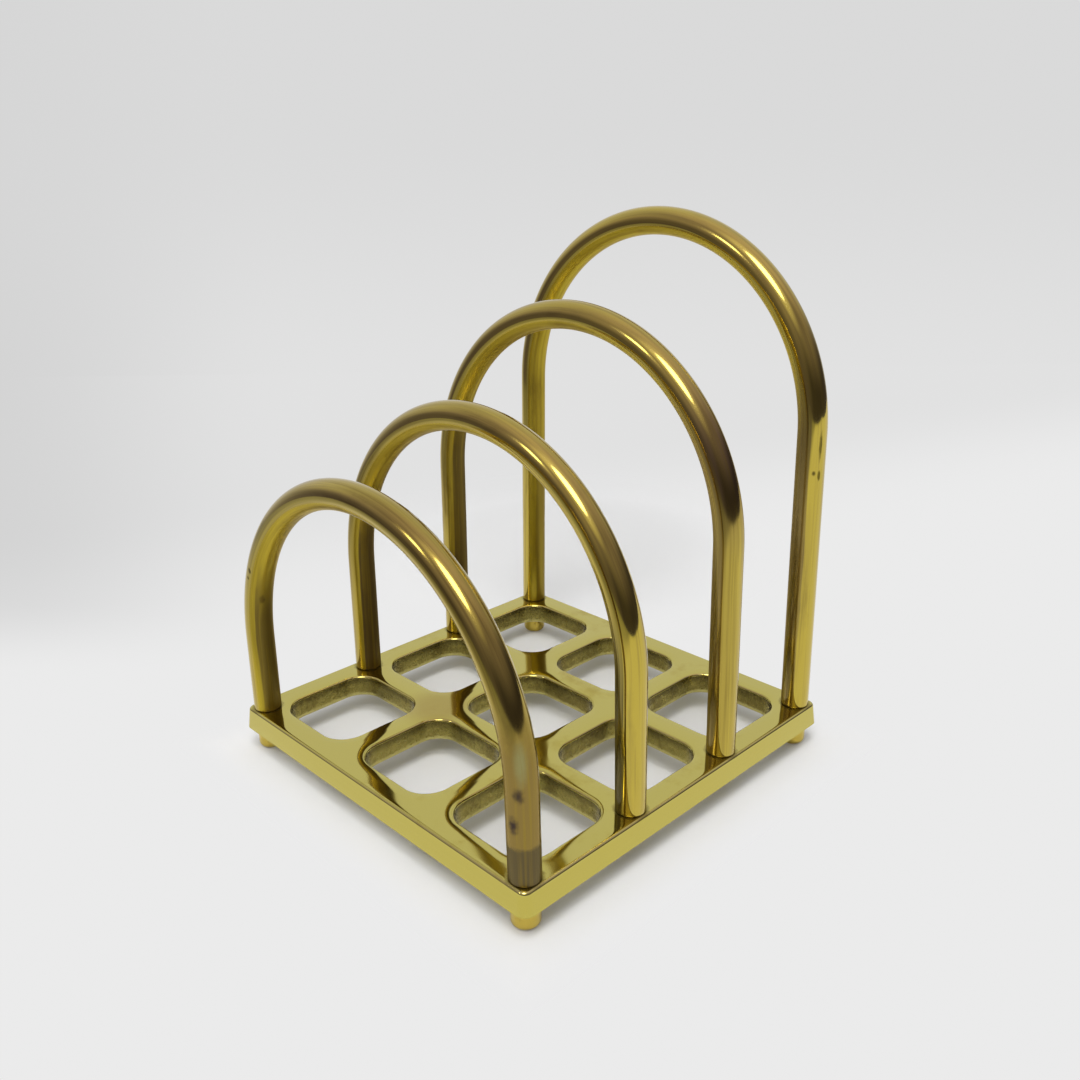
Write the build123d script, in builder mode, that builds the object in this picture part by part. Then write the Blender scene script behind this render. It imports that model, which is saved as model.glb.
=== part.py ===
from build123d import *
from math import cos, radians, sin, tan
import os

# A brass letter rack: a pierced square base on four button feet, with four bent bars standing across it as
# arches of rising height. Letters stand in the three spaces between the arches.
# Millimetres. X runs along the arches, Y from the lowest arch at the front to the tallest at the back, and
# Z is up. The origin is on the surface that the rack stands on, below the middle of the base.

# Base casting
base_side = 130.0  # top face, the same both ways
base_depth = 7.2
side_draft = 7.0  # degrees, the sides spread towards the underside
base_corner = 2.5  # upright corners
windows_each_way = 3
rib_width = 8.0  # metal between the windows and round the border
window_corner = 8.0
window_draft = 3.0  # degrees, the windows narrow towards the underside
window_roll = 1.2  # rolled top edge of a window
edge_roll = 1.1  # rolled top edge of the base
lower_break = 0.4  # edges of the underside

# Arches
bar_diameter = 8.6
leg_inset = 5.0  # from the edge of the top face to the middle of a leg
leg_lean = 1.0  # degrees, the bent bars spring open and the legs spread towards their ends
leg_end_roll = 0.8
front_arch_height = 88.5  # top of the crown above the base
second_arch_height = 102.5
third_arch_height = 126.0
back_arch_height = 150.5

# Feet, each turned in one piece with its stud
foot_diameter = 8.0
foot_height = 6.6
foot_roll = 1.9

# Studs and screws, all of one thread
thread_diameter = 4.0
thread_reach = 8.0  # length inside a leg
tip_chamfer = 0.5
screw_head_diameter = 7.2
screw_head_angle = 90.0  # degrees across the countersink
slot_width = 1.0
slot_depth = 0.9

# Clearances
thread_gap = 0.1  # round a thread in its tapped leg
through_gap = 0.25  # round a thread where it passes the base
tip_gap = 0.8  # beyond the tip, at the bottom of a tapped hole
head_gap = 0.08  # round a countersunk head

base_bottom = foot_height
base_top = base_bottom + base_depth
window_side = (base_side - (windows_each_way + 1) * rib_width) / windows_each_way
window_pitch = window_side + rib_width
leg_reach = base_side / 2 - leg_inset
thread_top = base_top + thread_reach

# The outer arches stand on the border, and the middle ones at the ends of the ribs between the windows
arch_rows = {
    "front_arch": (-leg_reach, front_arch_height),
    "second_arch": (-window_pitch / 2, second_arch_height),
    "third_arch": (window_pitch / 2, third_arch_height),
    "back_arch": (leg_reach, back_arch_height),
}
foot_spots = {
    "front_left_foot": (-leg_reach, -leg_reach),
    "front_right_foot": (leg_reach, -leg_reach),
    "back_left_foot": (-leg_reach, leg_reach),
    "back_right_foot": (leg_reach, leg_reach),
}
screw_spots = [(x, row * window_pitch / 2) for x in (-leg_reach, leg_reach) for row in (-1, 1)]

os.makedirs("parts", exist_ok=True)


def is_upright(edge):
    """Tells the edges that run from the top of the base to its underside."""
    return abs((edge @ 1 - edge @ 0).Z) > base_depth / 2


# Base: a casting with drafted sides and windows, drilled for the studs and countersunk for the screws
with BuildPart() as base:
    with BuildSketch(Plane.XY.offset(base_top)):
        Rectangle(base_side, base_side)
    extrude(amount=-base_depth, taper=-side_draft)
    fillet(base.edges().filter_by(is_upright), base_corner)

    with BuildSketch(Plane.XY.offset(base_top)):
        with GridLocations(window_pitch, window_pitch, windows_each_way, windows_each_way):
            Rectangle(window_side, window_side)
    extrude(amount=-base_depth, taper=window_draft, mode=Mode.SUBTRACT)
    fillet(base.edges(Select.LAST).filter_by(is_upright), window_corner)

    fillet(base.faces().sort_by(Axis.Z)[-1].outer_wire().edges(), edge_roll)
    fillet(base.faces().sort_by(Axis.Z)[-1].inner_wires().edges(), window_roll)
    chamfer(base.faces().sort_by(Axis.Z)[0].edges(), lower_break)

    with Locations(*[(x, y, base_top) for x, y in foot_spots.values()]):
        Hole(thread_diameter / 2 + through_gap, depth=base_depth)
    with Locations(*[Plane((x, y, base_bottom), z_dir=(0, 0, -1)) for x, y in screw_spots]):
        CounterSinkHole(
            thread_diameter / 2 + through_gap,
            screw_head_diameter / 2 + head_gap,
            depth=base_depth,
            counter_sink_angle=screw_head_angle,
        )
base.part.label = "base"
export_step(base.part, "parts/base.step")


def make_arch(name, row, height):
    """One bent bar: two straight legs that run tangent into a round bend, with tapped ends."""
    lean = radians(leg_lean)
    crown = height - bar_diameter / 2
    bend = (leg_reach * cos(lean) - crown * sin(lean)) / (1 - sin(lean))
    knee_x = bend * cos(lean)
    knee_z = crown - bend + bend * sin(lean)
    spare = bar_diameter / 2
    end_x = leg_reach + spare * tan(lean)

    with BuildPart() as arch:
        with BuildLine(Plane((0, row, base_top), x_dir=(1, 0, 0), z_dir=(0, -1, 0))) as centre_line:
            Line((-end_x, -spare), (-knee_x, knee_z))
            ThreePointArc((-knee_x, knee_z), (0, crown), (knee_x, knee_z))
            Line((knee_x, knee_z), (end_x, -spare))
        with BuildSketch(Plane(centre_line.line @ 0, z_dir=centre_line.line % 0)):
            Circle(bar_diameter / 2)
        sweep(path=centre_line.line)
        split(bisect_by=Plane.XY.offset(base_top), keep=Keep.TOP)
        fillet(arch.edges().group_by(Axis.Z)[0], leg_end_roll)
        with Locations(*[Plane((x, row, base_top), z_dir=(0, 0, -1)) for x in (-leg_reach, leg_reach)]):
            Hole(thread_diameter / 2 + thread_gap, depth=thread_reach + tip_gap)
    arch.part.label = name
    export_step(arch.part, f"parts/{name}.step")


for name, (row, height) in arch_rows.items():
    make_arch(name, row, height)


def make_foot(name, x, y):
    """One turned button foot, with the stud that passes the base and screws into a corner leg."""
    with BuildPart() as foot:
        with BuildSketch(Plane((x, y, 0), x_dir=(1, 0, 0), z_dir=(0, -1, 0))):
            with BuildLine():
                Polyline(
                    (0, 0),
                    (foot_diameter / 2, 0),
                    (foot_diameter / 2, foot_height),
                    (thread_diameter / 2, foot_height),
                    (thread_diameter / 2, thread_top),
                    (0, thread_top),
                    close=True,
                )
            make_face()
        revolve(axis=Axis((x, y, 0), (0, 0, 1)))
        fillet(foot.edges().group_by(Axis.Z)[0], foot_roll)
        chamfer(foot.edges().group_by(Axis.Z)[-1], tip_chamfer)
    foot.part.label = name
    export_step(foot.part, f"parts/{name}.step")


for name, (x, y) in foot_spots.items():
    make_foot(name, x, y)


# One slotted countersunk screw, with the flat of its head level with the underside of the base
head_depth = (screw_head_diameter - thread_diameter) / 2 / tan(radians(screw_head_angle / 2))
with BuildPart() as screw:
    with BuildSketch(Plane((0, 0, base_bottom), x_dir=(1, 0, 0), z_dir=(0, -1, 0))):
        with BuildLine():
            Polyline(
                (0, 0),
                (screw_head_diameter / 2, 0),
                (thread_diameter / 2, head_depth),
                (thread_diameter / 2, base_depth + thread_reach),
                (0, base_depth + thread_reach),
                close=True,
            )
        make_face()
    revolve(axis=Axis.Z)
    chamfer(screw.edges().group_by(Axis.Z)[-1], tip_chamfer)
    with BuildSketch(Plane.XY.offset(base_bottom)):
        Rectangle(screw_head_diameter, slot_width)
    extrude(amount=slot_depth, mode=Mode.SUBTRACT)

# The four screws that hold the two middle arches
with BuildPart() as leg_screws:
    with Locations(*screw_spots):
        add(screw.part)
leg_screws.part.label = "leg_screws"
export_step(leg_screws.part, "parts/leg_screws.step")
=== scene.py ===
from math import asin, atan2, cos, hypot, pi, radians, sin, tan

import bmesh
import bpy
from mathutils import Matrix, Vector


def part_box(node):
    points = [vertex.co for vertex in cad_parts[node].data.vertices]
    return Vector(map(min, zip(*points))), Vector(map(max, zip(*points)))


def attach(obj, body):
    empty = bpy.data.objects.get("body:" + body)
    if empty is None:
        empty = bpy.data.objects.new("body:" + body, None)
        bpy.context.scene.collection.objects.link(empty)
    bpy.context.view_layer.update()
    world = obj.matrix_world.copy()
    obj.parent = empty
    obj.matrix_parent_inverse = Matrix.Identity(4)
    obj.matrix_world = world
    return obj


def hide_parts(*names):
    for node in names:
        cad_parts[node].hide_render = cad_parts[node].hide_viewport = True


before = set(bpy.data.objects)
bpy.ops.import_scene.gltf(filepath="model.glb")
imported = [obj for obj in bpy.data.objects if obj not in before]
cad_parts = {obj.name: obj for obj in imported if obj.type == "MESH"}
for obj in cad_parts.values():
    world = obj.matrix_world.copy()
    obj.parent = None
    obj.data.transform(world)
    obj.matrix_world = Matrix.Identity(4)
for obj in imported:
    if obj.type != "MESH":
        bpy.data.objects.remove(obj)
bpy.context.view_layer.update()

scene = bpy.context.scene
scene.view_settings.view_transform = "Standard"

# Base: a flat brass casting pierced with round-cornered windows. The sides and the windows are drafted as
# the mould left them. The top and its edges are buffed to a soft mirror, and the window walls and the
# underside keep the dull skin of the mould. It is drilled for the foot studs and countersunk for the screws.
base_low, base_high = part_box("base")
base_top, base_bottom = base_high.z, base_low.z
base_depth = base_top - base_bottom
top_half = 0.0650
side_draft = radians(7.0)
base_corner = 0.0025
edge_crown, edge_roll = 0.0008, 0.0010
lower_break = 0.0004
windows_each_way = 3
rib_width = 0.0080
window_corner = 0.0080
window_draft = radians(3.0)
rim_crown, rim_roll = 0.0027, 0.0008
crown_radius = 0.025
stud_hole = 0.00225
sink_radius = 0.00368
window_corner_steps, base_corner_steps, hole_sides = 18, 12, 32
weld_distance = 1e-6
sharp_turn = radians(38.0)
window_half = (2 * top_half - (windows_each_way + 1) * rib_width) / windows_each_way / 2
window_pitch = 2 * window_half + rib_width
foot_low, foot_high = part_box("front_right_foot")
leg_reach = (foot_low.x + foot_high.x) / 2


def round_square(bm, half, corner, steps):
    """A ring of edges: a square with round corners, flat on Z = 0."""
    square = bmesh.ops.create_grid(bm, x_segments=1, y_segments=1, size=half)["verts"]
    bmesh.ops.bevel(
        bm, geom=square, offset=corner, segments=steps, profile=0.5, affect="VERTICES", material=-1
    )
    face = [f for f in bm.faces if all(abs(v.co.z) < 1e-9 for v in f.verts)][-1]
    ring = list(face.edges)
    bmesh.ops.delete(bm, geom=[face], context="FACES_ONLY")
    return ring


def ring_verts(ring):
    return list({v for e in ring for v in e.verts})


def place_ring(ring, half, corner, outward, height):
    """Moves a ring out from its own outline, square to it, and to a height."""
    for v in ring_verts(ring):
        middle = Vector((half - corner, half - corner))
        middle.x *= 1 if v.co.x > 0 else -1
        middle.y *= 1 if v.co.y > 0 else -1
        away = (v.co.xy - middle).normalized() * (corner + outward)
        v.co = (*(middle + away), height)


def draw_out(bm, ring, material):
    """Extrudes a ring of edges where it stands, and gives the new ring."""
    made = bmesh.ops.extrude_edge_only(bm, edges=ring)["geom"]
    new = {v for v in made if isinstance(v, bmesh.types.BMVert)}
    fresh = [e for e in {e for v in new for e in v.link_edges} if set(e.verts) <= new]
    for e in fresh:
        for f in e.link_faces:
            f.material_index = material
    return fresh


def drafted_wall(bm, half, corner, steps, profile):
    """The rings of a wall round a rounded square, through (outward, height, material) points."""
    ring = round_square(bm, half, corner, steps)
    place_ring(ring, half, corner, *profile[0][:2])
    rings = [ring]
    for outward, height, material in profile[1:]:
        ring = draw_out(bm, ring, material)
        place_ring(ring, half, corner, outward, height)
        rings.append(ring)
    return rings


def finish_piece(name, bm, materials):
    """Turns a finished bmesh into a smooth-shaded object that rides on the rack."""
    bmesh.ops.remove_doubles(bm, verts=bm.verts, dist=weld_distance)
    bmesh.ops.recalc_face_normals(bm, faces=bm.faces)
    for e in bm.edges:
        e.smooth = e.calc_face_angle(pi) < sharp_turn
    for f in bm.faces:
        f.smooth = True
    mesh = bpy.data.meshes.new(name)
    bm.to_mesh(mesh)
    bm.free()
    for material in materials:
        mesh.materials.append(material)
    piece = bpy.data.objects.new(name, mesh)
    scene.collection.objects.link(piece)
    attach(piece, "root")
    return piece


POLISHED, AS_CAST = 0, 1
crown_steps, roll_steps = 5, 9
flat_margin = 0.0003


def worn_edge(crown, roll, last_turn):
    """(inward, height) points from the flat top over a faint crown and a tighter roll, to a drafted side."""
    turn = asin(crown / crown_radius)
    sweep = [turn * k / crown_steps for k in range(crown_steps + 1)]
    points = [(crown_radius * sin(a), crown_radius * (cos(a) - 1)) for a in sweep]
    run, fall = points[-1]
    sweep = [turn + (last_turn - turn) * k / roll_steps for k in range(1, roll_steps + 1)]
    points += [(run + roll * (sin(a) - sin(turn)), fall + roll * (cos(a) - cos(turn))) for a in sweep]
    width = points[-1][0]
    return [(width + flat_margin, base_top)] + [(width - run, base_top + fall) for run, fall in points]


rim = worn_edge(rim_crown, rim_roll, pi / 2 - window_draft)
wall_end = -(rim[-1][1] - base_bottom - lower_break) * tan(window_draft)
window_profile = [(inward, height, POLISHED) for inward, height in rim]
window_profile += [
    (wall_end, base_bottom + lower_break, AS_CAST),
    (wall_end + lower_break, base_bottom, AS_CAST),
]
edge = worn_edge(edge_crown, edge_roll, pi / 2 - side_draft)
side_end = (base_depth - lower_break) * tan(side_draft)
border_profile = [(-inward, height, POLISHED) for inward, height in edge]
border_profile += [
    (side_end, base_bottom + lower_break, POLISHED),
    (side_end - lower_break, base_bottom, POLISHED),
]

bm = bmesh.new()
top_edges, bottom_edges = [], []
window_steps = range(-(windows_each_way // 2), windows_each_way // 2 + 1)
for column in window_steps:
    for row in window_steps:
        rings = drafted_wall(bm, window_half, window_corner, window_corner_steps, window_profile)
        wall = list({v for ring in rings for v in ring_verts(ring)})
        bmesh.ops.translate(bm, verts=wall, vec=(column * window_pitch, row * window_pitch, 0))
        top_edges += rings[0]
        bottom_edges += rings[-1]
rings = drafted_wall(bm, top_half, base_corner, base_corner_steps, border_profile)
top_edges += rings[0]
bottom_edges += rings[-1]

stud_spots = [(x, y) for x in (-leg_reach, leg_reach) for y in (-leg_reach, leg_reach)]
screw_spots = [(x, y * window_pitch / 2) for x in (-leg_reach, leg_reach) for y in (-1, 1)]
for spot in stud_spots + screw_spots:
    hole = bmesh.ops.create_circle(
        bm, segments=hole_sides, radius=stud_hole, matrix=Matrix.Translation((*spot, base_top))
    )["verts"]
    ring = list({e for v in hole for e in v.link_edges})
    top_edges += ring
    depths = [(base_bottom, 1.0)]
    if spot in screw_spots:
        depths = [(base_bottom + sink_radius - stud_hole, 1.0), (base_bottom, sink_radius / stud_hole)]
    for height, spread in depths:
        ring = draw_out(bm, ring, AS_CAST)
        around = Matrix.Translation((-spot[0], -spot[1], 0))
        bmesh.ops.scale(bm, verts=ring_verts(ring), vec=(spread, spread, 1), space=around)
        for v in ring_verts(ring):
            v.co.z = height
    bottom_edges += ring
bmesh.ops.triangle_fill(bm, edges=top_edges, use_beauty=True, normal=(0, 0, 1))
below = bmesh.ops.triangle_fill(bm, edges=bottom_edges, use_beauty=True, normal=(0, 0, -1))["geom"]
for f in below:
    if isinstance(f, bmesh.types.BMFace):
        f.material_index = AS_CAST


def set_socket(tree, socket, value):
    """Links what another node puts out into a socket, or sets a plain value on it."""
    if isinstance(value, bpy.types.NodeSocket):
        tree.links.new(value, socket)
    else:
        socket.default_value = value


def node(tree, kind, sockets=None, **settings):
    """Adds one shader node, with its settings and with values or links for its sockets."""
    made = tree.nodes.new("ShaderNode" + kind)
    for key, value in settings.items():
        setattr(made, key, value)
    for key, value in (sockets or {}).items():
        set_socket(tree, made.inputs[key], value)
    return made


def sums(tree, operation, *values):
    return node(tree, "Math", dict(enumerate(values)), operation=operation).outputs[0]


def vectors(tree, operation, *values):
    """One step of arithmetic on vectors: its outputs, Vector and Value."""
    return node(tree, "VectorMath", dict(enumerate(values)), operation=operation).outputs


def parts_of(tree, vector):
    return node(tree, "SeparateXYZ", {0: vector}).outputs


def apart(tree, first, second):
    return vectors(tree, "DISTANCE", first, second)["Value"]


def between(tree, value, low, high, start=0.0, end=1.0):
    """A smooth step from start to end while the value goes from low to high."""
    sockets = {"Value": value, "From Min": low, "From Max": high, "To Min": start, "To Max": end}
    return node(tree, "MapRange", sockets, interpolation_type="SMOOTHSTEP").outputs[0]


def mixed(tree, share, first, second):
    return node(tree, "Mix", {0: share, 6: first, 7: second}, data_type="RGBA").outputs[2]


def stretched(tree, place, across, along):
    """The place with its third direction drawn out, for a grain that runs that way."""
    return node(tree, "Mapping", {"Vector": place, "Scale": (across, across, along)}).outputs[0]


def noise(tree, place, scale, detail=3.0, roughness=0.5):
    sockets = {"Vector": place, "Scale": scale, "Detail": detail, "Roughness": roughness}
    return node(tree, "TexNoise", sockets).outputs[0]


def shader_group(name, inputs, outputs):
    """An empty node group with named sockets: its tree, what comes in and what goes out."""
    tree = bpy.data.node_groups.new(name, "ShaderNodeTree")
    for socket, kind in inputs:
        tree.interface.new_socket(socket, in_out="INPUT", socket_type="NodeSocket" + kind)
    for socket, kind in outputs:
        tree.interface.new_socket(socket, in_out="OUTPUT", socket_type="NodeSocket" + kind)
    return tree, tree.nodes.new("NodeGroupInput").outputs, tree.nodes.new("NodeGroupOutput").inputs


def use_group(tree, group, **sockets):
    made = tree.nodes.new("ShaderNodeGroup")
    made.node_tree = group
    for key, value in sockets.items():
        set_socket(tree, made.inputs[key], value)
    return made.outputs


# Brown tarnish in soft clouds, with a finer mottle at their edges
mottle_finer, mottle_share = 6.0, 0.35
cloud_start, cloud_gain, cloud_fade = 0.72, -0.45, 0.22
tarnish_group, came, went = shader_group(
    "tarnish_clouds", [("Place", "Vector"), ("Scale", "Float"), ("Amount", "Float")], [("Mask", "Float")]
)
clouds = noise(tarnish_group, came["Place"], came["Scale"], 4.0, 0.6)
mottle_scale = sums(tarnish_group, "MULTIPLY", came["Scale"], mottle_finer)
mottle = noise(tarnish_group, came["Place"], mottle_scale, 3.0, 0.6)
mottle = sums(tarnish_group, "MULTIPLY_ADD", mottle, mottle_share, -mottle_share / 2)
start = sums(tarnish_group, "MULTIPLY_ADD", came["Amount"], cloud_gain, cloud_start)
full = sums(tarnish_group, "ADD", start, cloud_fade)
both = sums(tarnish_group, "ADD", clouds, mottle)
tarnish_group.links.new(between(tarnish_group, both, start, full), went["Mask"])

# Hairlines that a buffing wheel leaves: a fine noise at the place, which a bar draws out along its third
# direction
hairline_group, came, went = shader_group(
    "buffing_hairlines", [("Place", "Vector"), ("Fine", "Float")], [("Height", "Float")]
)
hairline_group.links.new(noise(hairline_group, came["Place"], came["Fine"], 2.0, 0.7), went["Height"])


def new_material(name):
    made = bpy.data.materials.new(name)
    made.use_nodes = True
    tree = made.node_tree
    return made, tree, tree.nodes["Principled BSDF"], node(tree, "TexCoord").outputs["Object"]


def feed(tree, shader, **sockets):
    """Links values into a shader, or sets them, by socket names with underscores for spaces."""
    for key, value in sockets.items():
        set_socket(tree, shader.inputs[key.replace("_", " ")], value)


def bump(tree, height, distance, strength=1.0, under=None):
    sockets = {"Height": height, "Distance": distance, "Strength": strength}
    if under:
        sockets["Normal"] = under
    return node(tree, "Bump", sockets).outputs[0]


bright_brass, dull_brass = (0.63, 0.55, 0.135, 1), (0.53, 0.43, 0.070, 1)
side_brass, handled_brown = (0.59, 0.50, 0.098, 1), (0.44, 0.31, 0.065, 1)
# Painted shade for the ring round the foot of each leg on the top of the base
seat_shade_colour = (0.12, 0.085, 0.035, 1)
buffed_rough, dulled_rough, seat_shade_rough = 0.07, 0.13, 0.25
handled_spot, handled_reach, handled_core = (-0.020, -0.022, base_top), 0.015, 0.004
seat_shade_reach, seat_shade_core, seat_shade_ragged = 0.0054, 0.0043, 0.0006
lacquer_index = 1.5

buffed_casting, tree, shader, place = new_material("buffed_casting")
dull = use_group(tree, tarnish_group, Place=place, Scale=38.0, Amount=0.36)["Mask"]
tone = mixed(tree, dull, bright_brass, dull_brass)
handled = between(tree, apart(tree, place, handled_spot), handled_reach, handled_core, 0.0, 0.6)
tone = mixed(tree, handled, tone, handled_brown)
up = parts_of(tree, place)["Z"]
tone = mixed(tree, between(tree, up, base_top - 0.0004, base_top - 0.0012), tone, side_brass)
# Painted shade: the top is darkened in a ragged ring round the foot of each leg, and it is rougher there with
# no lacquer
one_corner = vectors(tree, "ABSOLUTE", place)["Vector"]
one_corner = vectors(tree, "MULTIPLY", one_corner, (1, 1, 0))["Vector"]
from_outer_leg = apart(tree, one_corner, (leg_reach, leg_reach, 0))
from_middle_leg = apart(tree, one_corner, (leg_reach, window_pitch / 2, 0))
from_legs = sums(tree, "MINIMUM", from_outer_leg, from_middle_leg)
shade_ragging = sums(tree, "MULTIPLY_ADD", noise(tree, place, 700.0, 3.0, 0.6), -2 * seat_shade_ragged, seat_shade_ragged)
from_legs = sums(tree, "ADD", from_legs, shade_ragging)
on_top = between(tree, up, base_top - 0.0010, base_top - 0.0004)
seat_shade = sums(tree, "MULTIPLY", on_top, between(tree, from_legs, seat_shade_reach, seat_shade_core))
tone = mixed(tree, sums(tree, "MULTIPLY", seat_shade, 0.5), tone, seat_shade_colour)
rough = between(tree, dull, 0.0, 1.0, buffed_rough, dulled_rough)
hairs = use_group(tree, hairline_group, Place=place, Fine=900.0)["Height"]
level = bump(tree, noise(tree, place, 55.0, 1.0), 0.0006, 0.25)
feed(
    tree, shader, Base_Color=tone, Metallic=1.0, Normal=bump(tree, hairs, 0.00001, 0.1, level),
    Roughness=sums(tree, "MULTIPLY_ADD", seat_shade, seat_shade_rough, rough),
    Coat_Weight=between(tree, seat_shade, 0.0, 1.0, 0.25, 0.0), Coat_Roughness=0.04, Coat_IOR=lacquer_index,
)

skin_light, skin_dark = (0.31, 0.260, 0.068, 1), (0.21, 0.168, 0.044, 1)
painted_wall_shade, painted_floor_reflection = (0.12, 0.095, 0.03, 1), (0.50, 0.44, 0.15, 1)
reflection_band_height, reflection_band_fade = 0.0012, 0.0012

mould_skin, tree, shader, place = new_material("mould_skin")
sand = noise(tree, place, 900.0, 4.0, 0.65)
patches = use_group(tree, tarnish_group, Place=place, Scale=85.0, Amount=0.66)["Mask"]
tone = mixed(tree, patches, skin_light, skin_dark)
up = parts_of(tree, place)["Z"]
# Painted shade: each window wall is painted darker towards its top
upper_wall_shade = between(tree, up, base_top - 0.0036, base_top - 0.0012, 0.0, 0.65)
tone = mixed(tree, upper_wall_shade, tone, painted_wall_shade)
# Painted reflection: a ragged band at the bottom of the as-cast faces is painted brighter and made smoother,
# for the lit floor it mirrors
reflection_band = sums(tree, "MULTIPLY_ADD", sand, reflection_band_fade, up)
reflection_band = between(tree, reflection_band, base_bottom + reflection_band_height + reflection_band_fade, base_bottom + reflection_band_height)
tone = mixed(tree, reflection_band, tone, painted_floor_reflection)
rough = between(tree, sand, 0.3, 0.7, 0.22, 0.34)
feed(
    tree, shader, Base_Color=tone, Metallic=1.0, Normal=bump(tree, sand, 0.0003, 0.25),
    Roughness=sums(tree, "MULTIPLY_ADD", reflection_band, -0.14, rough),
)

base_casting = finish_piece("base_casting", bm, [buffed_casting, mould_skin])
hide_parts("base")

# Arches: four lengths of round brass bar, each bent cold round a former and polished along its length. The
# bars spring open a little after bending, so the legs spread towards their ends. The ends are turned flat
# with a small roll and tapped, and stand on the base. Handling and lacquer loss have browned them in streaks.
bar_low, bar_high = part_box("front_arch")
bar_radius = (bar_high.y - bar_low.y) / 2
leg_lean = radians(1.0)
leg_end_roll, leg_end_steps = 0.0005, 6
tapped_radius, tapped_depth = 0.0021, 0.0088
bar_sides, bend_steps = 64, 112


def bent_bar(bm, row, crown):
    """One bar on its own row, from the left leg's end over the bend to the right leg's end."""
    bend = (leg_reach * cos(leg_lean) - crown * sin(leg_lean)) / (1 - sin(leg_lean))
    centre = Vector((0, row, base_top + crown - bend))
    knee = Vector((-bend * cos(leg_lean), row, centre.z + bend * sin(leg_lean)))
    end = Vector((-leg_reach, row, base_top))
    verts = bmesh.ops.create_circle(
        bm, segments=bar_sides, radius=bar_radius, matrix=Matrix.Translation(end)
    )["verts"]
    ring = list({e for v in verts for e in v.link_edges})
    ring = draw_out(bm, ring, 0)
    bmesh.ops.translate(bm, verts=ring_verts(ring), vec=knee - end)
    turn = Matrix.Rotation(leg_lean, 3, "Y")
    bmesh.ops.rotate(bm, verts=ring_verts(ring), cent=knee, matrix=turn)
    swept = bmesh.ops.spin(
        bm, geom=ring_verts(ring) + ring, cent=centre, axis=(0, 1, 0), angle=pi - 2 * leg_lean,
        steps=bend_steps, use_merge=False,
    )["geom_last"]
    ring = [e for e in swept if isinstance(e, bmesh.types.BMEdge)]
    ring = draw_out(bm, ring, 0)
    far_knee = Vector((-knee.x, row, knee.z))
    bmesh.ops.rotate(bm, verts=ring_verts(ring), cent=far_knee, matrix=turn)
    bmesh.ops.translate(bm, verts=ring_verts(ring), vec=Vector((leg_reach, row, base_top)) - far_knee)
    return centre, bend


def tap_ends(bm):
    """Closes both ends, rolls their edges and sinks the tapped holes."""
    rims = [e for e in bm.edges if e.is_boundary]
    caps = bmesh.ops.holes_fill(bm, edges=rims, sides=0)["faces"]
    rims = list({e for f in caps for e in f.edges})
    bmesh.ops.bevel(
        bm, geom=rims, offset=leg_end_roll, segments=leg_end_steps, profile=0.5, affect="EDGES", material=-1
    )
    caps = [f for f in bm.faces if len(f.verts) == bar_sides]
    bmesh.ops.inset_region(bm, faces=caps, thickness=bar_radius - leg_end_roll - tapped_radius)
    caps = [f for f in bm.faces if len(f.verts) == bar_sides]
    sunk = bmesh.ops.extrude_face_region(bm, geom=caps)["geom"]
    raised = [v for v in sunk if isinstance(v, bmesh.types.BMVert)]
    bmesh.ops.translate(bm, verts=raised, vec=(0, 0, tapped_depth))
    bmesh.ops.delete(bm, geom=caps, context="FACES_ONLY")


def mark_along(bm, row, centre, bend):
    """Stores each point's place on the bar as if it were straight: across it, through it and along it."""
    layer = bm.verts.layers.float_vector.new("bar_place")
    for v in bm.verts:
        rise, run = v.co.z - centre.z, v.co.x
        turn = atan2(rise, run)
        if rise > 0:
            out, along = hypot(rise, run) - bend, bend * (pi / 2 - turn)
        else:
            out = abs(run) - bend + rise * tan(leg_lean)
            along = (bend * pi / 2 - rise) * (1 if run > 0 else -1)
        v[layer] = (out, v.co.y - row, along)


# Streaks that polishing and handling draw out along a bar, fine and broad
streak_group, came, went = shader_group(
    "bar_streaks", [("Place", "Vector")], [("Fine", "Float"), ("Broad", "Float")]
)
fine = noise(streak_group, stretched(streak_group, came["Place"], 1.0, 0.02), 900.0, 3.0, 0.6)
broad = noise(streak_group, stretched(streak_group, came["Place"], 1.0, 0.07), 240.0, 3.0, 0.55)
streak_group.links.new(between(streak_group, fine, 0.44, 0.66), went["Fine"])
streak_group.links.new(between(streak_group, broad, 0.40, 0.66), went["Broad"])

# Browning of a bar: its streaks and soft clouds, with an amount of its own for each end and more of it inside
# the bend. Worn is the inner face, which a polishing wheel hardly reaches.
fine_brown, broad_brown, cloud_brown, inside_brown, spared = 0.28, 0.26, 0.26, 0.12, -0.05
browning_group, came, went = shader_group(
    "bar_browning",
    [("Place", "Vector"), ("Spot", "Vector"), ("Fine", "Float"), ("Broad", "Float"), ("Left", "Float"),
     ("Right", "Float")],
    [("Mask", "Float"), ("Worn", "Float")],
)
tree = browning_group
out, far = (parts_of(tree, came["Spot"])[axis] for axis in "XZ")
clouds = stretched(tree, came["Place"], 1.0, 0.3)
clouds = use_group(tree, tarnish_group, Place=clouds, Scale=75.0, Amount=0.38)["Mask"]
brown = sums(tree, "MULTIPLY_ADD", came["Broad"], broad_brown, spared)
brown = sums(tree, "MULTIPLY_ADD", came["Fine"], fine_brown, brown)
brown = sums(tree, "ADD", brown, between(tree, far, -0.06, 0.06, came["Left"], came["Right"]))
brown = sums(tree, "MULTIPLY_ADD", clouds, cloud_brown, brown)
brown = sums(tree, "MULTIPLY_ADD", between(tree, out, -0.0008, -0.0032), inside_brown, brown)
tree.links.new(node(tree, "Clamp", {"Value": brown}).outputs[0], went["Mask"])
tree.links.new(between(tree, out, -0.0010, -0.0020), went["Worn"])

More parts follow.
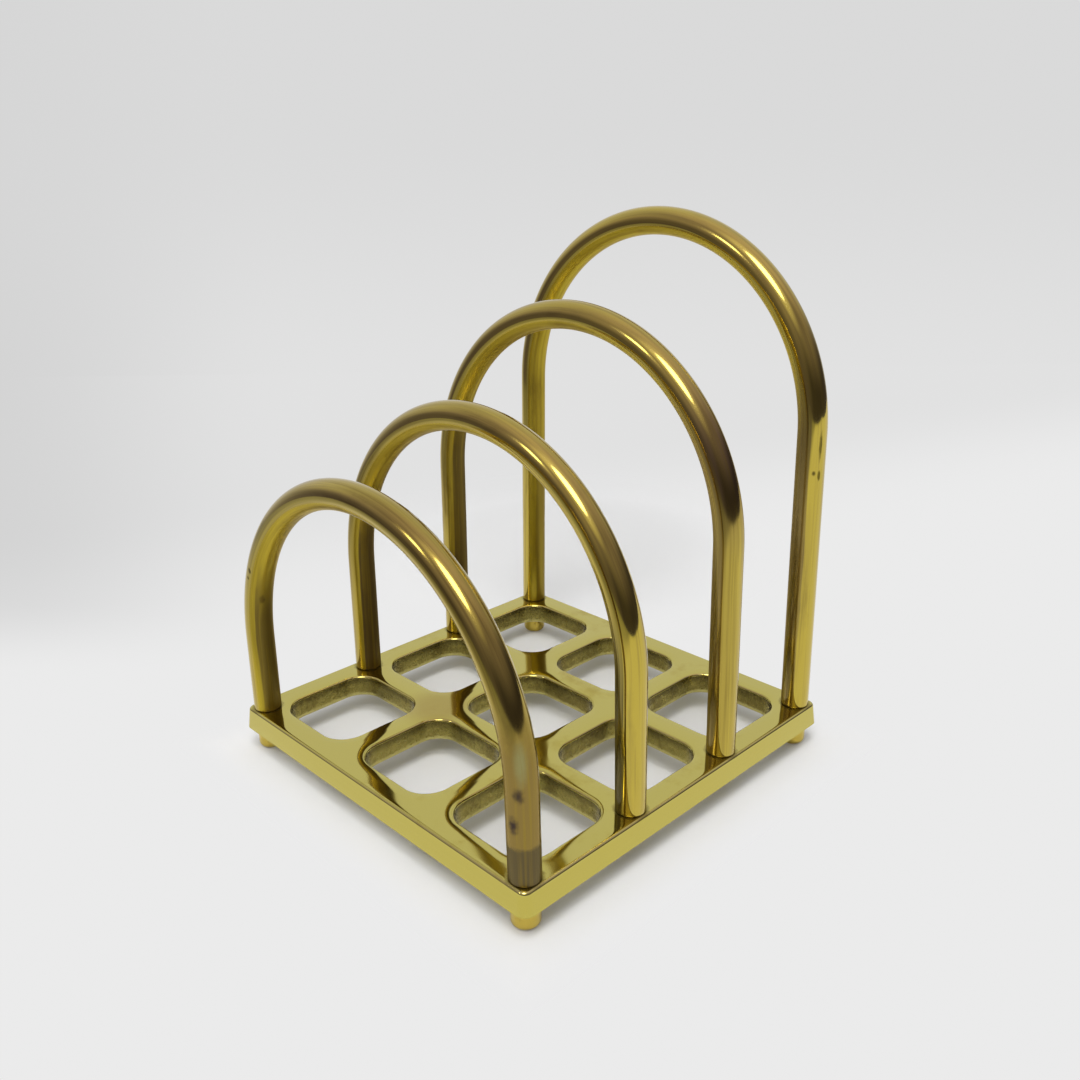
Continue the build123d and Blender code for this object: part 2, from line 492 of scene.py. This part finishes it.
# One side of a leg where the polish has gone. It fades out at its edges, up the leg and between the streaks.
dulled_group, came, went = shader_group(
    "dulled_side",
    [("Spot", "Vector"), ("Rise", "Float"), ("Fine", "Float"), ("Broad", "Float"), ("Leg", "Float"),
     ("Facing", "Vector"), ("Edge", "Float"), ("Core", "Float"), ("Top", "Float"), ("Amount", "Float")],
    [("Mask", "Float")],
)
tree = dulled_group
turned = vectors(tree, "DOT_PRODUCT", came["Spot"], came["Facing"])["Value"]
turned = sums(tree, "MULTIPLY_ADD", came["Broad"], 0.0004, turned)
side = between(tree, turned, came["Edge"], came["Core"])
down_leg = sums(tree, "MULTIPLY", parts_of(tree, came["Spot"])["Z"], came["Leg"])
side = sums(tree, "MULTIPLY", side, between(tree, down_leg, 0.055, 0.085))
fade_end = sums(tree, "ADD", came["Top"], 0.02)
fade_start = sums(tree, "ADD", came["Top"], -0.02)
low = between(tree, came["Rise"], fade_end, fade_start, 0.0, came["Amount"])
streaky = between(tree, came["Fine"], 0.0, 1.0, 1.0, 0.60)
tree.links.new(sums(tree, "MULTIPLY", sums(tree, "MULTIPLY", side, low), streaky), went["Mask"])

# A dark mark with a ragged edge, at one spot on a bar
stain_group, came, went = shader_group(
    "stain",
    [("Place", "Vector"), ("Centre", "Vector"), ("Size", "Vector"), ("Ragged", "Float"), ("Soft", "Float")],
    [("Mask", "Float")],
)
tree = stain_group
wobble = node(tree, "TexNoise", {"Vector": came["Place"], "Scale": 650.0, "Detail": 4.0}).outputs["Color"]
wobble = vectors(tree, "SUBTRACT", wobble, (0.5, 0.5, 0.5))["Vector"]
wobble = vectors(tree, "MULTIPLY", wobble, came["Ragged"])["Vector"]
offset = vectors(tree, "SUBTRACT", came["Place"], came["Centre"])["Vector"]
offset = vectors(tree, "DIVIDE", offset, came["Size"])["Vector"]
offset = vectors(tree, "ADD", offset, wobble)["Vector"]
core = sums(tree, "SUBTRACT", 1.0, came["Soft"])
tree.links.new(between(tree, vectors(tree, "LENGTH", offset)["Value"], 1.0, core), went["Mask"])

gold, browned_gold, edge_tint = (0.57, 0.432, 0.036, 1), (0.19, 0.118, 0.017, 1), (0.93, 0.86, 0.66, 1)
gold_rough, browned_rough, worn_rough, side_rough = 0.075, 0.16, 0.25, 0.20
side_fade = 0.06


def bar_finish(name, seed, ends, dulled_sides, stains):
    """Lacquered bar: gold with brown streaks along it, dulled sides on its legs, and its own marks."""
    made, tree, shader, place = new_material(name)
    spot = node(tree, "Attribute", attribute_name="bar_place").outputs["Vector"]
    along = vectors(tree, "ADD", spot, (0, 0, seed))["Vector"]
    out, up = parts_of(tree, spot)["X"], parts_of(tree, place)["Z"]
    streaks = use_group(tree, streak_group, Place=along)
    fine, broad = streaks["Fine"], streaks["Broad"]
    browning = use_group(
        tree, browning_group, Place=along, Spot=spot, Fine=fine, Broad=broad, Left=ends[0], Right=ends[1]
    )
    brown = browning["Mask"]
    tone = mixed(tree, brown, gold, browned_gold)
    rough = between(tree, brown, 0.0, 1.0, gold_rough, browned_rough)
    rough = sums(tree, "MULTIPLY_ADD", browning["Worn"], worn_rough, rough)
    lacquer = between(tree, brown, 0.2, 1.0, 1.0, 0.3)
    lacquer = sums(tree, "MULTIPLY", lacquer, between(tree, browning["Worn"], 0.0, 1.0, 1.0, 0.1))
    for leg, bearing, spread, top, amount, colour in dulled_sides:
        dulled = use_group(
            tree, dulled_group, Spot=spot, Rise=up, Fine=fine, Broad=broad, Leg=leg,
            Facing=(cos(bearing), sin(bearing), 0), Edge=bar_radius * cos(spread + side_fade),
            Core=bar_radius * cos(spread - side_fade), Top=base_top + top, Amount=amount,
        )["Mask"]
        tone = mixed(tree, dulled, tone, (*colour, 1))
        rough = sums(tree, "MULTIPLY_ADD", dulled, side_rough, rough)
        lacquer = sums(tree, "MULTIPLY", lacquer, between(tree, dulled, 0.0, 1.0, 1.0, 0.3))
    streaky = between(tree, fine, 0.0, 1.0, 0.95, 0.60)
    # The marks, and then the painted shade at the foot of the legs
    for centre, size, ragged, soft, colour, matt in stains + [seat_gap_shade]:
        mask = use_group(
            tree, stain_group, Place=place, Centre=centre, Size=size, Ragged=ragged, Soft=soft
        )["Mask"]
        tone = mixed(tree, sums(tree, "MULTIPLY", mask, streaky), tone, (*colour, 1))
        rough = sums(tree, "MULTIPLY_ADD", mask, matt, rough)
        lacquer = sums(tree, "MULTIPLY", lacquer, between(tree, mask, 0.0, 1.0, 1.0, 0.15))
    ripple = bump(tree, noise(tree, stretched(tree, along, 1.0, 0.3), 70.0, 1.0), 0.0003, 0.25)
    hairs = use_group(tree, hairline_group, Place=stretched(tree, along, 1.0, 0.012), Fine=3200.0)["Height"]
    hair_depth = between(tree, out, -0.0026, -0.0002, 0.0, 0.05)
    feed(
        tree, shader, Base_Color=tone, Metallic=1.0, Roughness=rough, Specular_Tint=edge_tint,
        Normal=bump(tree, hairs, 0.000012, hair_depth, ripple),
        Coat_Weight=lacquer, Coat_Roughness=0.13, Coat_IOR=lacquer_index,
    )
    return made


right_leg, left_leg = leg_reach, -leg_reach
front_row, back_row = -leg_reach, leg_reach
# How brown each arch is at its left and its right end
bar_browning = {
    "front_arch": (0.04, 0.32),
    "second_arch": (0.33, 0.0),
    "third_arch": (0.26, 0.08),
    "back_arch": (0.12, -0.06),
}
LEFT, RIGHT = -1, 1
inner_bearing, outer_bearing = radians(160), radians(-117)
inner_brown, outer_brown = (0.10, 0.066, 0.026), (0.21, 0.140, 0.050)
near_black = (0.055, 0.045, 0.020)
# Dulled sides: the leg, the way the side faces, half its width, its height, its strength and its colour
leg_sides = {
    "front_arch": [(LEFT, inner_bearing, radians(62), 0.090, 0.75, inner_brown)],
    "second_arch": [
        (LEFT, inner_bearing, radians(66), 0.090, 0.90, inner_brown),
        (RIGHT, outer_bearing, radians(40), 0.056, 0.90, near_black),
    ],
    "third_arch": [
        (LEFT, inner_bearing, radians(60), 0.110, 0.80, inner_brown),
        (RIGHT, outer_bearing, radians(38), 0.075, 0.80, outer_brown),
    ],
    "back_arch": [
        (LEFT, inner_bearing, radians(50), 0.060, 0.55, inner_brown),
        (RIGHT, outer_bearing, radians(50), 0.105, 0.85, outer_brown),
    ],
}
# Marks: the middle, half the size each way, how ragged and how soft the edge is, the colour, and how matt
# Painted shade at the foot of every leg, where it stands on the base, given as a mark
seat_gap_shade = ((0, 0, base_top - 0.001), (0.5, 0.5, 0.0019), 0.3, 0.5, (0.16, 0.115, 0.045), 0.15)
bar_stains = {
    "front_arch": [
        ((right_leg, front_row, base_top + 0.020), (0.03, 0.03, 0.034), 0.2, 0.6, (0.28, 0.190, 0.050), 0.06),
        ((right_leg + 0.0028, front_row - 0.0032, base_top + 0.036), (0.0028, 0.0028, 0.0100), 0.3, 0.8,
         (0.34, 0.32, 0.13), 0.06),
        ((right_leg, front_row, base_top), (0.05, 0.05, 0.0118), 0.10, 0.14, (0.135, 0.105, 0.050), 0.20),
        ((right_leg + 0.0021, front_row - 0.0037, base_top + 0.026), (0.0021, 0.0021, 0.0028), 0.8, 0.85,
         (0.07, 0.050, 0.035), 0.10),
        ((right_leg + 0.0007, front_row - 0.0042, base_top + 0.0175), (0.0021, 0.0021, 0.0032), 0.8, 0.85,
         (0.05, 0.035, 0.035), 0.10),
        ((left_leg + 0.0066, front_row - 0.0043, base_top + 0.0504), (0.0008, 0.0012, 0.0013), 0.5, 0.6,
         (0.06, 0.045, 0.02), 0.15),
        ((left_leg + 0.0052, front_row - 0.0043, base_top + 0.0477), (0.0008, 0.0012, 0.0009), 0.5, 0.8,
         (0.15, 0.110, 0.03), 0.15),
        ((left_leg + 0.0069, front_row - 0.0014, base_top + 0.0400), (0.0013, 0.0012, 0.0022), 0.8, 0.7,
         (0.12, 0.080, 0.02), 0.15),
    ],
    "third_arch": [
        ((0.0560, window_pitch / 2, base_top + 0.088), (0.026, 0.02, 0.030), 0.1, 0.9,
         (0.30, 0.205, 0.075), 0.05),
    ],
    "back_arch": [
        ((right_leg + 0.0017, back_row - 0.0030, base_top + 0.0778), (0.0008, 0.0008, 0.0010), 0.4, 0.8,
         (0.12, 0.085, 0.015), 0.15),
        ((right_leg + 0.0026, back_row - 0.0016, base_top + 0.0770), (0.0007, 0.0007, 0.0020), 0.4, 0.6,
         (0.05, 0.035, 0.008), 0.15),
        ((right_leg + 0.0025, back_row - 0.0017, base_top + 0.0860), (0.0007, 0.0007, 0.0060), 0.4, 0.7,
         (0.05, 0.035, 0.012), 0.15),
    ],
}
for number, name in enumerate(("front_arch", "second_arch", "third_arch", "back_arch")):
    low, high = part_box(name)
    row = (low.y + high.y) / 2
    bm = bmesh.new()
    centre, bend = bent_bar(bm, row, high.z - bar_radius - base_top)
    tap_ends(bm)
    mark_along(bm, row, centre, bend)
    finish = bar_finish(
        name + "_brass", number * 0.7, bar_browning[name], leg_sides[name], bar_stains.get(name, [])
    )
    bar = finish_piece(name + "_bar", bm, [finish])
    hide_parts(name)

# Feet: four brass buttons, each turned in one piece with the stud that passes through the base and screws
# into a corner leg, so that it clamps the leg to the base.
foot_radius, foot_roll = (foot_high.x - foot_low.x) / 2, 0.0019
foot_sides, foot_roll_steps = 64, 10
stud_radius, stud_chamfer = 0.0020, 0.0005
turned_bright, turned_dull = (0.57, 0.43, 0.080, 1), (0.33, 0.21, 0.040, 1)

turned_brass, tree, shader, place = new_material("turned_brass")
lathe = noise(tree, stretched(tree, place, 0.02, 1.0), 5200.0, 2.0)
dull = use_group(tree, tarnish_group, Place=place, Scale=260.0, Amount=0.4)["Mask"]
feed(
    tree, shader, Metallic=1.0, Base_Color=mixed(tree, dull, turned_bright, turned_dull),
    Roughness=between(tree, dull, 0.0, 1.0, 0.14, 0.30), Normal=bump(tree, lathe, 0.00004, 0.4),
)


def on_lower_rim(v, middle, floor_level):
    """Tells the points of the button's outer edge on the floor."""
    out = (v.co.xy - middle.xy).length
    return abs(v.co.z - floor_level) < weld_distance and abs(out - foot_radius) < weld_distance


for name in ("front_left_foot", "front_right_foot", "back_left_foot", "back_right_foot"):
    low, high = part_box(name)
    middle = Vector(((low.x + high.x) / 2, (low.y + high.y) / 2, 0))
    bm = bmesh.new()
    outline = [
        (0, low.z), (foot_radius, low.z), (foot_radius, base_bottom), (stud_radius, base_bottom),
        (stud_radius, high.z - stud_chamfer), (stud_radius - stud_chamfer, high.z), (0, high.z),
    ]
    points = [bm.verts.new(middle + Vector((r, 0, z))) for r, z in outline]
    edges = [bm.edges.new(pair) for pair in zip(points, points[1:])]
    bmesh.ops.spin(
        bm, geom=points + edges, cent=middle, axis=(0, 0, 1), angle=2 * pi, steps=foot_sides, use_merge=True
    )
    bmesh.ops.remove_doubles(bm, verts=bm.verts, dist=weld_distance)
    rim = [e for e in bm.edges if all(on_lower_rim(v, middle, low.z) for v in e.verts)]
    bmesh.ops.bevel(
        bm, geom=rim, offset=foot_roll, segments=foot_roll_steps, profile=0.5, affect="EDGES", material=-1
    )
    foot = finish_piece(name + "_button", bm, [turned_brass])
    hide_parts(name)

# Leg screws: four slotted countersunk brass screws that hold the two middle arches from below. Their heads
# lie level with the underside of the base.
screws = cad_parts["leg_screws"]
screws.material_slots[0].material = turned_brass

# Camera: it stands to the right of the front corner, at about the height of the tallest arch, and looks down
# at the rack. Its place, turn and lens were fitted to the edges of the base and the bars.
camera_place = Vector((0.21363, -0.20328, 0.18213))
camera_heading, camera_tilt, camera_roll = radians(45.694), radians(20.763), radians(-0.754)
camera = bpy.data.objects.new("camera", bpy.data.cameras.new("camera"))
camera.data.sensor_width, camera.data.lens = 36.0, 34.675
camera.data.clip_start, camera.data.clip_end = 0.01, 20.0
camera.matrix_world = (
    Matrix.Translation(camera_place)
    @ Matrix.Rotation(camera_heading, 4, "Z")
    @ Matrix.Rotation(pi / 2 - camera_tilt, 4, "X")
    @ Matrix.Rotation(camera_roll, 4, "Z")
)
scene.collection.objects.link(camera)
scene.camera = camera

# Floor: a sheet of white card that the rack stands on. The camera and the brass see it as pale paper that
# runs out into the backdrop, and close to the rack it is lit by the lamps, so that it takes the shadow.
sheet_left, sheet_right, sheet_front, sheet_back = 0.45, 1.20, 0.75, 0.60
card_white, sheet_pale, far_pale, backdrop_pale = 0.82, 0.83, 0.755, 0.70
corner_dim = 0.10
shaded_spot, shaded_reach = (-0.125, 0.140, 0), 0.11
shadow_near, shadow_far, shadow_lift = 0.064, 0.082, 0.06
dim_front_way = (-0.31, -0.95, 0)

bm = bmesh.new()
bmesh.ops.create_grid(bm, x_segments=1, y_segments=1, size=1.0)
bmesh.ops.scale(
    bm, verts=bm.verts, vec=((sheet_left + sheet_right) / 2, (sheet_front + sheet_back) / 2, 1)
)
bmesh.ops.translate(
    bm, verts=bm.verts, vec=((sheet_right - sheet_left) / 2, (sheet_back - sheet_front) / 2, 0)
)
bmesh.ops.rotate(bm, verts=bm.verts, matrix=Matrix.Rotation(camera_heading, 3, "Z"))
mesh = bpy.data.meshes.new("floor")
bm.to_mesh(mesh)
bm.free()
floor = bpy.data.objects.new("floor", mesh)
scene.collection.objects.link(floor)

card, tree, shader, place = new_material("white_card")
turned = node(tree, "Mapping", {"Vector": place, "Rotation": (0, 0, -camera_heading)}).outputs[0]
turned = parts_of(tree, turned)
across, back = turned["X"], turned["Y"]
edges = [(across, sheet_right), (across, -sheet_left), (back, sheet_back), (back, -sheet_front)]
right, left, rear, front = (sums(tree, "DIVIDE", way, end) for way, end in edges)
reach = sums(tree, "MAXIMUM", sums(tree, "MAXIMUM", right, left), sums(tree, "MAXIMUM", rear, front))
behind = sums(tree, "MULTIPLY_ADD", across, -0.45, back)
rise = sums(tree, "MAXIMUM", between(tree, reach, 0.70, 0.98), between(tree, behind, 0.08, 0.38))
# Round shaded_spot, behind the rack, the card's tone is painted darker as a painted shadow of the arches; the
# lamp-lit card also shows there
close = apart(tree, place, shaded_spot)
rise = sums(tree, "MAXIMUM", rise, between(tree, close, shaded_reach, 0.03))
from_camera = sums(tree, "ADD", back, hypot(camera_place.x, camera_place.y))
aside = sums(tree, "DIVIDE", across, from_camera)
corner = between(tree, aside, -0.23, -0.56, 0.0, corner_dim)
corner = sums(tree, "MULTIPLY", corner, between(tree, back, 0.05, 0.12))
tone = sums(tree, "SUBTRACT", between(tree, rise, 0.0, 1.0, sheet_pale, far_pale), corner)

path = node(tree, "LightPath").outputs
forward = vectors(tree, "DOT_PRODUCT", place, dim_front_way)["Value"]
near_dim = between(tree, forward, 0.11, 0.25, 0.0, 0.5)
far_dim = between(tree, forward, 0.25, 0.6, 0.0, 0.25)
dimmed = sums(tree, "MULTIPLY", path["Is Glossy Ray"], sums(tree, "ADD", near_dim, far_dim))
pale = sums(tree, "MULTIPLY", tone, sums(tree, "SUBTRACT", 1.0, dimmed))
glow = node(tree, "Emission", {"Strength": pale})
seen = sums(tree, "MAXIMUM", path["Is Camera Ray"], path["Is Glossy Ray"])
away = parts_of(tree, vectors(tree, "ABSOLUTE", place)["Vector"])
away = sums(tree, "MAXIMUM", away["X"], away["Y"])
open_floor = between(tree, away, shadow_near, shadow_far, shadow_lift, 1.0)
fade = sums(tree, "MULTIPLY", open_floor, between(tree, close, shaded_reach, 0.05, 1.0, 0.0))
fade = sums(tree, "MULTIPLY", fade, seen)
lit = sums(tree, "MULTIPLY", tone, card_white / sheet_pale)
feed(tree, shader, Base_Color=lit, Roughness=0.9, Specular_IOR_Level=0.1)
both = node(tree, "MixShader", {0: fade, 1: shader.outputs[0], 2: glow.outputs[0]})
tree.links.new(both.outputs[0], tree.nodes["Material Output"].inputs["Surface"])
mesh.materials.append(card)

# Light: a large soft lamp in front and above, a small one to the left, and one overhead that only the floor
# takes light from. The room is pale behind the rack and overhead and dim in front of it, which is what the
# brass mirrors.
core_edge, core_full, skirt_edge, skirt_full = 0.195, 0.165, 0.5, 0.2


def soft_lamp(name, azimuth, elevation, distance, side, core, skirt):
    """A square panel with a bright middle that falls off to a dim skirt and out to nothing."""
    lamp = bpy.data.lights.new(name, "AREA")
    lamp.shape, lamp.size = "SQUARE", side
    lamp.energy = pi * side * side
    lamp.use_nodes = True
    tree = lamp.node_tree
    reach = apart(tree, node(tree, "NewGeometry").outputs["Parametric"], (0.5, 0.5, 0))
    bright = between(tree, reach, core_edge, core_full, 0.0, core)
    dim = between(tree, reach, skirt_edge, skirt_full, 0.0, skirt)
    tree.links.new(sums(tree, "ADD", bright, dim), tree.nodes["Emission"].inputs["Strength"])
    made = bpy.data.objects.new(name, lamp)
    towards = Vector((cos(elevation) * cos(azimuth), cos(elevation) * sin(azimuth), sin(elevation)))
    turn = towards.to_track_quat("Z", "Y").to_matrix().to_4x4()
    made.matrix_world = Matrix.Translation(towards * distance) @ turn
    made.visible_camera = False
    scene.collection.objects.link(made)
    return made


soft_lamp("key_lamp", radians(-57), radians(57), distance=2.4, side=2.9, core=7.0, skirt=0.5)
soft_lamp("side_lamp", radians(-108), radians(37), distance=1.2, side=0.54, core=6.0, skirt=0.4)
floor_lamp = soft_lamp("floor_lamp", radians(-45), radians(76), distance=2.4, side=2.0, core=11.2, skirt=0.0)
floor_lamp.visible_glossy = False

back_way = camera_heading + radians(6)
behind_way = (-sin(back_way), cos(back_way), 0.0)
left_way = (-cos(camera_heading), -sin(camera_heading), 0.0)
over_way = (0.09, 0.49, 0.87)
right_wall_low, right_wall_high = 0.06, 0.28
left_wall_low, left_wall_high = 0.14, 0.36
ceiling_glow, over_glow = 0.26, 0.14
brass_tint = (1.1, 0.97, 1.5, 1)

world = bpy.data.worlds.new("room")
world.use_nodes = True
scene.world = world
tree = world.node_tree
way = vectors(tree, "NORMALIZE", node(tree, "TexCoord").outputs["Generated"])["Vector"]
height = parts_of(tree, way)["Z"]
leftward, facing, over = (
    vectors(tree, "DOT_PRODUCT", way, towards)["Value"] for towards in (left_way, behind_way, over_way)
)
right_wall = between(tree, height, 0.08, 0.60, right_wall_low, right_wall_high)
left_wall = between(tree, height, 0.0, 0.45, left_wall_low, left_wall_high)
left_share = between(tree, leftward, 0.0, 0.7)
room = node(tree, "Mix", {0: left_share, 2: right_wall, 3: left_wall}, data_type="FLOAT").outputs[0]
room = sums(tree, "ADD", room, between(tree, height, 0.60, 1.0, 0.0, ceiling_glow))
room = sums(tree, "ADD", room, between(tree, over, 0.68, 0.95, 0.0, over_glow))
path = node(tree, "LightPath").outputs
tint = mixed(tree, path["Is Glossy Ray"], (1, 1, 1, 1), brass_tint)
room = vectors(tree, "MULTIPLY", room, tint)["Vector"]
facing = sums(tree, "ADD", facing, between(tree, height, 0.05, 0.50, -0.35, 0.0))
seen = sums(tree, "MAXIMUM", path["Is Camera Ray"], between(tree, facing, -0.05, 0.75))
corner = between(tree, leftward, 0.22, 0.48, 0.0, corner_dim)
corner = sums(tree, "MULTIPLY", corner, between(tree, height, -0.22, 0.02, 1.0, 0.3))
corner = sums(tree, "MULTIPLY", corner, between(tree, leftward, 0.55, 0.75, 1.0, 0.0))
backdrop = sums(tree, "SUBTRACT", between(tree, height, -0.22, 0.03, far_pale, backdrop_pale), corner)
tree.links.new(mixed(tree, seen, room, backdrop), tree.nodes["Background"].inputs["Color"])
